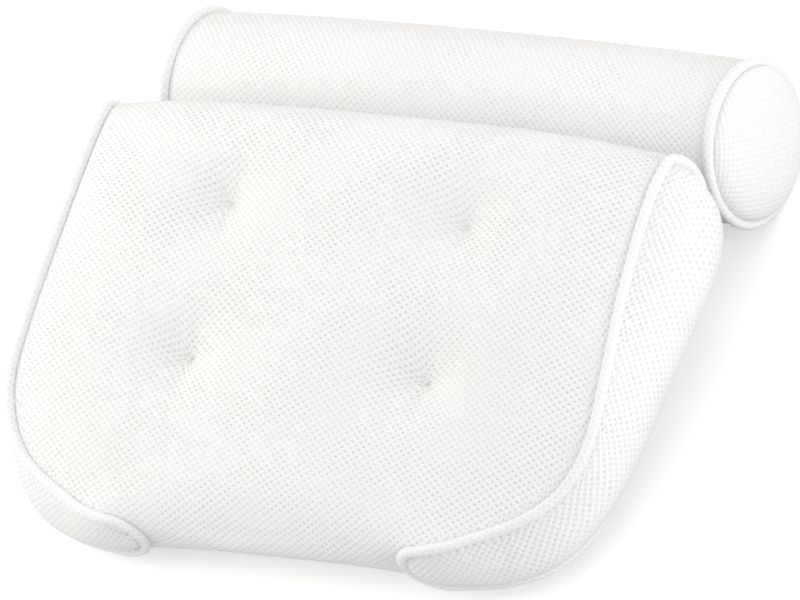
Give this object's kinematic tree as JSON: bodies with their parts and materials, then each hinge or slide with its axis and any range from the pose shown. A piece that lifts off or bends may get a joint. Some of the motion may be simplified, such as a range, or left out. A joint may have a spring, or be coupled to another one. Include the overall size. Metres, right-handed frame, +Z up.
{
  "type": "bath pillow",
  "caption": "Wedge-shaped back cushion in white spacer mesh with sewn tufts and piped side gussets, a head roll on a cloth hinge and suction cups below.",
  "frame": {"origin": "on the surface that the pillow rests on, under the middle of its bounding box", "axes": "+X along the width and the head roll, +Y from the front edge to the head roll, +Z up"},
  "size_m": [0.4004, 0.3368, 0.1201],
  "materials": {
    "mesh_cover": "white polyester spacer mesh with staggered holes",
    "piping": "the same mesh wrapped round a cord",
    "fill": "white fibre fill",
    "thread": "white nylon thread",
    "cup_tab": "white laminated cloth",
    "cup_rubber": "soft milky vinyl, smooth"
  },
  "bodies": {
    "back_cushion": {"cushion_core": "fill", "cushion_wrap": "mesh_cover", "cushion_back_panel": "mesh_cover", "cushion_gusset_left": "mesh_cover", "cushion_gusset_right": "mesh_cover", "cushion_piping_left": "piping", "cushion_piping_right": "piping", "tuft_tie_rear_left": "thread", "tuft_tie_rear_right": "thread", "tuft_tie_front_left": "thread", "tuft_tie_front_right": "thread", "cup_tab_front_left": "cup_tab", "cup_tab_front_middle": "cup_tab", "cup_tab_front_right": "cup_tab", "cup_tab_rear_left": "cup_tab", "cup_tab_rear_middle": "cup_tab", "cup_tab_rear_right": "cup_tab", "hinge_web": "mesh_cover"},
    "head_roll": {"roll_core": "fill", "roll_wrap": "mesh_cover", "roll_end_left": "mesh_cover", "roll_end_right": "mesh_cover", "roll_piping_left": "piping", "roll_piping_right": "piping"},
    "cup_front_left": {"suction_cup_front_left": "cup_rubber"},
    "cup_front_middle": {"suction_cup_front_middle": "cup_rubber"},
    "cup_front_right": {"suction_cup_front_right": "cup_rubber"},
    "cup_rear_left": {"suction_cup_rear_left": "cup_rubber"},
    "cup_rear_middle": {"suction_cup_rear_middle": "cup_rubber"},
    "cup_rear_right": {"suction_cup_rear_right": "cup_rubber"}
  },
  "joints": [
    {"name": "roll_fold", "type": "hinge", "parent": "back_cushion", "child": "head_roll", "pos_m": [0, 0.06964, 0.04238], "axis": [1, 0, 0], "range_deg": [-90, 0], "deforming": ["hinge_web"]},
    {"name": "cup_swivel_front_left", "type": "hinge", "parent": "back_cushion", "child": "cup_front_left", "pos_m": [-0.122, -0.09414, 0.00344], "axis": [0, 0.1564, -0.9877], "continuous": true},
    {"name": "cup_swivel_front_middle", "type": "hinge", "parent": "back_cushion", "child": "cup_front_middle", "pos_m": [0, -0.09414, 0.00344], "axis": [0, 0.1564, -0.9877], "continuous": true},
    {"name": "cup_swivel_front_right", "type": "hinge", "parent": "back_cushion", "child": "cup_front_right", "pos_m": [0.122, -0.09414, 0.00344], "axis": [0, 0.1564, -0.9877], "continuous": true},
    {"name": "cup_swivel_rear_left", "type": "hinge", "parent": "back_cushion", "child": "cup_rear_left", "pos_m": [-0.122, 0.01549, 0.02081], "axis": [0, 0.1564, -0.9877], "continuous": true},
    {"name": "cup_swivel_rear_middle", "type": "hinge", "parent": "back_cushion", "child": "cup_rear_middle", "pos_m": [0, 0.01549, 0.02081], "axis": [0, 0.1564, -0.9877], "continuous": true},
    {"name": "cup_swivel_rear_right", "type": "hinge", "parent": "back_cushion", "child": "cup_rear_right", "pos_m": [0.122, 0.01549, 0.02081], "axis": [0, 0.1564, -0.9877], "continuous": true}
  ]
}
